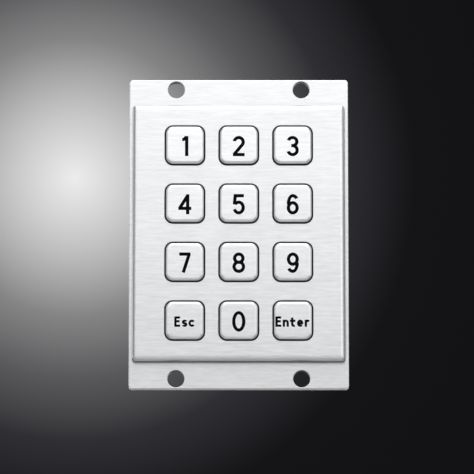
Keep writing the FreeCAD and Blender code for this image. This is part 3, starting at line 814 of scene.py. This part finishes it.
def cross_cutter(size, width, depth, y):
    """A tapering cross, wide at y and narrow at y - depth."""
    shape = bmesh.new()
    half, w = size / 2, width / 2
    outline = [
        (half, w), (w, w), (w, half), (-w, half), (-w, w), (-half, w),
        (-half, -w), (-w, -w), (-w, -half), (w, -half), (w, -w), (half, -w),
    ]
    wide = [shape.verts.new((x, y + depth * CUTTER_OVERSHOOT, z)) for x, z in outline]
    narrow = [shape.verts.new((x * CROSS_TAPER, y - depth, z * CROSS_TAPER)) for x, z in outline]
    shape.faces.new(wide)
    shape.faces.new(narrow)
    for i in range(len(outline)):
        j = (i + 1) % len(outline)
        shape.faces.new((wide[i], wide[j], narrow[j], narrow[i]))
    return closed_mesh(shape, "cross")


def cut_out(mesh, cutter):
    """A closed mesh with another cut away from it."""
    body = placed("body", mesh)
    tool = placed("tool", cutter)
    cut = body.modifiers.new("cut", "BOOLEAN")
    cut.operation = "DIFFERENCE"
    cut.solver = "EXACT"
    cut.object = tool
    result = evaluated_mesh(body)
    bpy.data.objects.remove(tool)
    return smooth_by_area(result)


def pan_head(radius, height, dome):
    """A pan head that sits on y = 0 and rises along +Y, with rounded shoulders."""
    profile = [(0, 0), (radius, 0), (radius, height - dome)]
    for step in range(1, SHOULDER_STEPS):
        a = math.pi / 2 * step / SHOULDER_STEPS
        profile.append((radius - dome * (1 - math.cos(a)), height - dome + dome * math.sin(a)))
    profile += [(radius - dome, height), (0, height)]
    head = spun("head", profile, 0.0, 0.0)
    return cut_out(head, cross_cutter(*M3_CROSS, height))


# %% [markdown]
# Six screws with spring washers hold the rear cover, each turned its own way.

# %% Rear cover screws and their split washers
screw_low, screw_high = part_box("cover_screws")
washer_low, washer_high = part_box("cover_washers")
HEAD_R = 2.75 * MM
HEAD_SHOULDER = 0.9 * MM
M3_R = 1.5 * MM
SHANK_INTO_HEAD = 0.2 * MM
WASHER_BORE_R = 1.6 * MM
WASHER_GAP_DEGREES = 8
WASHER_STEPS = 40
WASHER_LEAN = math.radians(4)
SCREW_COLUMN_PITCH = screw_high.x - screw_low.x - 2 * HEAD_R
SCREW_ROW_PITCH = (screw_high.z - screw_low.z - 2 * HEAD_R) / 2
HEAD_BASE = washer_high.y
HEAD_HEIGHT = screw_high.y - HEAD_BASE
screw = joined("screw", [
    pan_head(HEAD_R, HEAD_HEIGHT, HEAD_SHOULDER),
    threaded_shank("shank", M3_R, screw_low.y - HEAD_BASE, SHANK_INTO_HEAD),
])
screws = grid_of(
    screw, 2, 3, SCREW_COLUMN_PITCH, SCREW_ROW_PITCH, (0, HEAD_BASE, 0), ZINC_SCREW, math.tau, 4
)
new_piece("cover_pan_screws", screws, "housing", ZINC_SCREW, ["cover_screws"])


def split_washer(inner, outer, thickness, gap_degrees):
    """A spring washer: a flat ring with a slanted split."""
    shape = bmesh.new()
    slots = []
    for i in range(WASHER_STEPS + 1):
        a = math.radians(gap_degrees / 2 + (360 - gap_degrees) * i / WASHER_STEPS)
        lean = WASHER_LEAN if i in (0, WASHER_STEPS) else 0.0
        corners = []
        top = (thickness, lean)
        for r, y, tilt in ((inner, 0, 0), (outer, 0, 0), (outer, *top), (inner, *top)):
            corners.append(shape.verts.new((r * math.cos(a + tilt), y, r * math.sin(a + tilt))))
        slots.append(corners)
    for low, high in zip(slots, slots[1:]):
        for i in range(4):
            j = (i + 1) % 4
            shape.faces.new((low[i], low[j], high[j], high[i]))
    shape.faces.new(slots[0])
    shape.faces.new(slots[-1])
    return smooth_by_area(closed_mesh(shape, "washer"))


WASHER_R = (washer_high.x - washer_low.x - SCREW_COLUMN_PITCH) / 2
washer = split_washer(
    WASHER_BORE_R, WASHER_R, washer_high.y - washer_low.y, WASHER_GAP_DEGREES
)
washers = grid_of(
    washer, 2, 3, SCREW_COLUMN_PITCH, SCREW_ROW_PITCH, (0, washer_low.y, 0), ZINC_SCREW, math.tau, 9
)
new_piece("cover_spring_washers", washers, "housing", ZINC_SCREW, ["cover_washers"])
print("screws on a %.0f x %.0f mm grid" % (SCREW_COLUMN_PITCH / MM, SCREW_ROW_PITCH / MM))

# %% [markdown]
# Under the cover, on the same grid as its screws, stand the welded studs and the hexagonal
# standoffs that clamp the board. A bar's corners are turned off at its ends, which is the
# hexagon held inside a circle there. The face panel has its own M2.5 flat-head screws,
# which come from behind.

# %% Studs, standoffs and panel screws
STUD_FOOT_R = 2.1 * MM
STUD_FOOT_T = 0.6 * MM
WELD_FILLET = 0.15 * MM
ACROSS_FLATS = 5.5 * MM
HEX_STEPS = 48
HEX_SMOOTH_ANGLE = math.radians(20)
HEX_CHAMFER = 0.25 * MM
BORE_R = 1.3 * MM
M25_R = 1.25 * MM
M25_THREAD_DEPTH = 0.24 * MM
FLAT_HEAD_R = 2.35 * MM
FLAT_HEAD_H = 1.1 * MM
FLAT_HEAD_RIM = 0.12 * MM
PANEL_SCREW_PITCH = (63.0 * MM, 40.0 * MM)


def on_stud_grid(prototype, y, material, turn, seed):
    return grid_of(prototype, 2, 3, SCREW_COLUMN_PITCH, SCREW_ROW_PITCH, (0, y, 0), material, turn, seed)


def hex_bar(length):
    """A bored hexagonal bar from y = 0 along +Y, with chamfered corners."""
    flat = ACROSS_FLATS / 2
    corner = flat / math.cos(math.pi / 6)
    shape = bmesh.new()
    rings = []
    for y, limit in (
        (0, flat), (HEX_CHAMFER, corner), (length - HEX_CHAMFER, corner), (length, flat),
        (length, BORE_R), (0, BORE_R),
    ):
        ring = []
        for i in range(HEX_STEPS):
            a = math.tau * i / HEX_STEPS
            side = flat / math.cos(a % (math.pi / 3) - math.pi / 6)
            r = min(side, limit)
            ring.append(shape.verts.new((r * math.cos(a), y, r * math.sin(a))))
        rings.append(ring)
    for low, high in zip(rings, rings[1:] + rings[:1]):
        for i in range(HEX_STEPS):
            j = (i + 1) % HEX_STEPS
            shape.faces.new((low[i], low[j], high[j], high[i]))
    return smooth_by_area(closed_mesh(shape, "hex_bar"), HEX_SMOOTH_ANGLE)


stud_low, stud_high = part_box("weld_studs")
foot_profile = [
    (0, 0),
    (STUD_FOOT_R, 0),
    (STUD_FOOT_R, STUD_FOOT_T * 0.6),
    (M3_R + WELD_FILLET, STUD_FOOT_T),
    (0, STUD_FOOT_T),
]
stud = joined("stud", [
    spun("foot", foot_profile, 0.0, 0.0),
    threaded_shank("stud", M3_R, STUD_FOOT_T / 2, stud_high.y - stud_low.y),
])
studs = on_stud_grid(stud, stud_low.y, STAINLESS_TURNED, math.tau, 12)
new_piece("threaded_studs", studs, "housing", STAINLESS_TURNED, ["weld_studs"])

bar_low, bar_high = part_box("standoffs")
bars = on_stud_grid(hex_bar(bar_high.y - bar_low.y), bar_low.y, NICKEL_BRASS, 0.0, 1)
new_piece("hex_standoffs", bars, "housing", NICKEL_BRASS, ["standoffs"])

flat_low, flat_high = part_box("panel_screws")
head_profile = [
    (0, 0), (FLAT_HEAD_R, 0), (FLAT_HEAD_R, -FLAT_HEAD_RIM), (M25_R, -FLAT_HEAD_H), (0, -FLAT_HEAD_H)
]
flat_screw = joined("flat_screw", [
    cut_out(spun("head", head_profile, 0.0, 0.0), cross_cutter(*M25_CROSS, 0.0)),
    threaded_shank("shank", M25_R, flat_low.y - flat_high.y, -FLAT_HEAD_H * 0.9, M25_THREAD_DEPTH),
])
end_pitch = flat_high.z - flat_low.z - 2 * FLAT_HEAD_R
flat_screws = joined("flat_screws", [
    grid_of(flat_screw, 2, 2, *PANEL_SCREW_PITCH, (0, flat_high.y, 0), STAINLESS_TURNED, math.tau, 3),
    grid_of(flat_screw, 1, 2, 0.0, end_pitch, (0, flat_high.y, 0), STAINLESS_TURNED, math.tau, 5),
])
new_piece(
    "panel_flat_screws", flat_screws, "housing", STAINLESS_TURNED, ["panel_screws"]
)
print("standoffs %.1f mm long, panel screws at the ends %.1f mm apart" % (
    (bar_high.y - bar_low.y) / MM, end_pitch / MM,
))

# %% [markdown]
# What is soldered to the board. Most of it is an outline swept sideways with its edges
# softened: a pin's foot, a bent chip lead, a chip resistor's body and the tinned cap at
# each of its ends. Each is drawn once and repeated along its row.

# %% Sweep an outline along X
HEADER_PITCH = 2.54 * MM
LEAD_PITCH = 1.27 * MM
PIN_HALF = 0.32 * MM
PIN_TIP = 0.6 * MM
PIN_FOOT = 0.4 * MM
PIN_FOOT_CHAMFER = 0.3 * MM
PIN_SOFTEN = 0.03 * MM
CHIP_LEAD_W = 0.4 * MM
CHIP_LEAD_T = 0.25 * MM
CHIP_LEAD_RISE = 1.1 * MM
CHIP_LEAD_OUT = 0.7 * MM
LEAD_BEND = (0.1 * MM, 0.15 * MM)
LEAD_SLANT = 0.12 * MM
LEAD_SOFTEN = 0.02 * MM
SMALL_LENGTH = 2.0 * MM
SMALL_WIDTH = 1.25 * MM
END_CAP = 0.35 * MM
END_CAP_SKIN = 0.03 * MM
BODY_SOFTEN = 0.04 * MM
CAP_SOFTEN = 0.06 * MM
TRACK_WIDTH = 0.5 * MM
TRACK_T = 0.035 * MM
TRACK_SOFTEN = 0.01 * MM


def extruded(outline, width, soften):
    """A closed outline of (y, z) points as a bar along X, its edges softened."""
    shape = bmesh.new()
    sides = [[shape.verts.new((x, y, z)) for y, z in outline] for x in (-width / 2, width / 2)]
    for side in sides:
        shape.faces.new(side)
    for i in range(len(outline)):
        j = (i + 1) % len(outline)
        shape.faces.new((sides[0][i], sides[0][j], sides[1][j], sides[1][i]))
    bmesh.ops.recalc_face_normals(shape, faces=shape.faces)
    bmesh.ops.bevel(shape, geom=shape.edges, offset=soften, segments=2, profile=0.5, affect="EDGES")
    mesh = bpy.data.meshes.new("extruded")
    shape.to_mesh(mesh)
    shape.free()
    return smooth_by_area(mesh)


def block(y0, y1, z0, z1):
    return [(y0, z0), (y1, z0), (y1, z1), (y0, z1)]


def row_of(prototype, columns, pitch, x, z, material):
    return grid_of(prototype, columns, 1, pitch, 0.0, (x, BOARD_BACK, z), material)


# %% [markdown]
# Header pins are square posts with tapered tips, their feet on alternate sides. The chip
# stands on ten bent leads a side.

# %% Header pins and chip leads
pins_low, pins_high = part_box("header_pins")
header_z = (pins_low.z + pins_high.z) / 2
pin_length = pins_high.y - pins_low.y
foot_length = (pins_high.z - pins_low.z) / 2
half_diagonal = PIN_HALF * math.sqrt(2)
post_profile = [
    (0, 0), (half_diagonal, 0), (half_diagonal, pin_length - PIN_TIP), (half_diagonal * 0.45, pin_length),
    (0, pin_length),
]
pin_rows = []
for side in (-1, 1):
    post = spun("post", post_profile, 0.0, 0.0, steps=4)
    post.transform(Matrix.Rotation(math.pi / 4, 4, "Y"))
    foot = extruded(
        [(0, 0), (0, side * foot_length), (PIN_FOOT * 0.6, side * foot_length),
         (PIN_FOOT, side * (foot_length - PIN_FOOT_CHAMFER)), (PIN_FOOT, 0)],
        2 * PIN_HALF, PIN_SOFTEN,
    )
    pin = joined("pin", [post, foot])
    pin_rows.append(row_of(pin, 4, 2 * HEADER_PITCH, side * HEADER_PITCH / 2, header_z, GOLD_FLASH))
new_piece(
    "header_square_pins", joined("pins", pin_rows), "housing", GOLD_FLASH, ["header_pins"]
)

chip_low, chip_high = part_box("controller_chip")
chip_z = (chip_low.z + chip_high.z) / 2
chip_edge = (chip_high.z - chip_low.z) / 2
leads_low, leads_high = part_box("chip_leads")
lead_reach = (leads_high.z - leads_low.z) / 2
lead_rows = []
for side in (-1, 1):
    out = chip_edge + CHIP_LEAD_OUT
    lead = extruded(
        [(y, side * z) for y, z in (
            (CHIP_LEAD_RISE, chip_edge), (CHIP_LEAD_RISE, out - LEAD_BEND[0]),
            (CHIP_LEAD_RISE - LEAD_BEND[1], out), (0, out + LEAD_SLANT),
            (0, lead_reach), (CHIP_LEAD_T, lead_reach),
            (CHIP_LEAD_T, out + CHIP_LEAD_T + LEAD_SLANT), (CHIP_LEAD_RISE, out + CHIP_LEAD_T),
            (CHIP_LEAD_RISE + CHIP_LEAD_T, out), (CHIP_LEAD_RISE + CHIP_LEAD_T, chip_edge),
        )],
        CHIP_LEAD_W, LEAD_SOFTEN,
    )
    lead_rows.append(row_of(lead, 10, LEAD_PITCH, 0.0, chip_z, TIN_PLATE))
new_piece("chip_gull_leads", joined("leads", lead_rows), "housing", TIN_PLATE, ["chip_leads"])

# %% [markdown]
# A small chip part is a ceramic body between two tinned caps. Eight tracks run from the
# header to the resistors, and show through the cable window.

# %% Resistors, capacitors and the tracks to the header


def chip_part(height):
    """The body and the pair of end caps of a small chip part."""
    half = SMALL_LENGTH / 2
    low, high = END_CAP_SKIN, height - END_CAP_SKIN
    body = extruded(block(low, high, -half + low, half - low), SMALL_WIDTH - 2 * END_CAP_SKIN, BODY_SOFTEN)
    caps = [
        extruded(block(0, height, *sorted((end * half, end * (half - END_CAP)))), SMALL_WIDTH, CAP_SOFTEN)
        for end in (-1, 1)
    ]
    return body, joined("caps", caps)


res_low, res_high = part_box("resistors")
res_z = (res_low.z + res_high.z) / 2
res_body, res_caps = chip_part(res_high.y - res_low.y)
new_piece(
    "resistor_bodies", row_of(res_body, 8, HEADER_PITCH, 0.0, res_z, RESISTOR_GLAZE), "housing",
    RESISTOR_GLAZE, ["resistors"],
)
new_piece("resistor_caps", row_of(res_caps, 8, HEADER_PITCH, 0.0, res_z, TIN_PLATE), "housing", TIN_PLATE)

cap_low, cap_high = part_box("capacitors")
CAPACITOR_ROWS = [(22.0 * MM, cap_low.z + SMALL_LENGTH / 2), (15.0 * MM, cap_high.z - SMALL_LENGTH / 2)]
cap_body, cap_caps = chip_part(cap_high.y - cap_low.y)
for name, prototype, material, slot, replaced in (
    ("capacitor_bodies", cap_body, CAPACITOR_CERAMIC, "capacitor_ceramic", ["capacitors"]),
    ("capacitor_caps", cap_caps, TIN_PLATE, "tinned_lead", ()),
):
    rows = [row_of(prototype, 2, pitch, 0.0, z, material) for pitch, z in CAPACITOR_ROWS]
    new_piece(name, joined(name, rows), "housing", material, replaced)

track_z = (header_z + foot_length, res_z - SMALL_LENGTH / 2)
track = extruded(block(-TRACK_T, TRACK_T, 0.0, track_z[1] - track_z[0]), TRACK_WIDTH, TRACK_SOFTEN)
new_piece(
    "board_tracks", row_of(track, 8, HEADER_PITCH, 0.0, track_z[0], TRACK_GREEN), "housing", TRACK_GREEN,
)
finish_node("contact_pads", GOLD_FLASH)
print("8 header pins, 20 chip leads, 8 resistors, 4 capacitors")

# %% [markdown]
# The studio: a pale floor well below the keypad, and a neutral surround that is grey in
# front and dark behind, with a soft glow on the backdrop to the left. A large panel light
# in front and above is what the flat steel mirrors. A weak fill and a low light soften its
# lower edges, strips light the two sides, one light is overhead, and three are behind.

# %% Floor, world and lights
FLOOR_Z = -1.25


def stage_floor():
    floor_mesh = bpy.data.meshes.new("floor")
    edge = 9.0
    corners = [(x * edge, y * edge, FLOOR_Z) for x, y in ((-1, -1), (1, -1), (1, 1), (-1, 1))]
    floor_mesh.from_pydata(corners, [], [(0, 1, 2, 3)])
    floor = placed("floor", floor_mesh)
    material, tree, shader = start_material("pale_matt_floor")
    shader.inputs["Base Color"].default_value = linear("#EFEEEB")
    shader.inputs["Roughness"].default_value = 0.8
    floor_mesh.materials.append(material)


stage_floor()

world = bpy.data.worlds.new("studio")
bpy.context.scene.world = world
world.use_nodes = True
sky = world.node_tree
sky.nodes.clear()
GLOW_CENTRE = Vector((-0.0410, 0.9882, 0.1540)).normalized()
GLOW_STEPS = [
    (0.0, "#ECECEC"), (0.0175, "#C2C2C2"), (0.0342, "#868687"), (0.0494, "#5B5B5D"),
    (0.0661, "#303034"), (0.0848, "#151518"), (0.13, "#121214"), (0.5, "#3E3E42"), (1.0, "#88888A"),
]
direction = add(sky, "ShaderNodeTexCoord").outputs["Generated"]
off_centre = add(sky, "ShaderNodeVectorMath", {0: direction, 1: GLOW_CENTRE}, operation="DISTANCE")
ramp = add(sky, "ShaderNodeValToRGB", {"Fac": off_centre.outputs["Value"]})
while len(ramp.color_ramp.elements) < len(GLOW_STEPS):
    ramp.color_ramp.elements.new(1.0)
for element, (place, tone) in zip(ramp.color_ramp.elements, GLOW_STEPS):
    element.position = place
    element.color = linear(tone)
shade = add(sky, "ShaderNodeBackground", {"Color": ramp.outputs["Color"], "Strength": 1.0})
add(sky, "ShaderNodeOutputWorld", {"Surface": shade.outputs["Background"]})


def soft_light(name, place, aim, width, height, radiance):
    """A softbox of even brightness; a radiance of 1 is white in a mirror."""
    data = bpy.data.lights.new(name, "AREA")
    data.shape = "RECTANGLE"
    data.size = width
    data.size_y = height
    data.energy = radiance * math.pi * width * height
    lamp = placed(name, data)
    lamp.location = place
    lamp.rotation_euler = (Vector(aim) - Vector(place)).to_track_quat("-Z", "Y").to_euler()
    lamp.visible_camera = False
    return lamp


soft_light("key_panel", (0.0, -0.70, 0.46), (0, 0, 0.42), 1.5, 0.76, 1.27)
soft_light("front_fill", (0.1, -1.75, 0.05), (0, 0, 0), 2.4, 0.9, 0.07)
soft_light("right_strip", (0.50, -0.34, 0.05), (0, 0, 0), 0.5, 0.5, 0.7)
soft_light("left_strip", (-0.55, -0.34, 0.05), (0, 0, 0), 0.45, 0.5, 0.45)
soft_light("low_light", (0.0, -0.42, -0.30), (0, 0, 0), 0.6, 0.3, 0.55)
soft_light("top_light", (0.0, -0.12, 0.46), (0, 0, 0), 0.5, 0.42, 2.0)
soft_light("rear_panel", (-0.10, 0.95, 0.30), (0, 0, 0), 1.6, 1.0, 1.7)
soft_light("rear_left", (-0.45, 0.60, 0.25), (0, 0, 0), 0.45, 0.45, 1.0)
soft_light("rear_right", (0.50, 0.50, 0.40), (0, 0, 0), 0.4, 0.4, 2.0)

# %% [markdown]
# The keypad is seen straight on from a little below, through a long lens, so its sides
# stay parallel.

# %% Camera
CAMERA_ELEVATION = -8.0
LENS = 300.0
SENSOR = 36.0
VIEW_WIDTH = 166.94 * MM
AIM = Vector((-0.62 * MM, 0.0, -0.58 * MM))


def long_lens_camera():
    data = bpy.data.cameras.new("camera")
    data.lens = LENS
    data.sensor_width = SENSOR
    data.clip_end = 100.0
    camera = placed("camera", data)
    distance = VIEW_WIDTH / (SENSOR / LENS)
    tilt = math.radians(CAMERA_ELEVATION)
    back = Vector((0, -math.cos(tilt), math.sin(tilt)))
    camera.location = AIM + back * distance
    camera.rotation_euler = (-back).to_track_quat("-Z", "Y").to_euler()
    bpy.context.scene.camera = camera
    return distance


camera_distance = long_lens_camera()
bpy.context.scene.view_settings.view_transform = "Standard"
print("camera %.2f m away" % camera_distance)
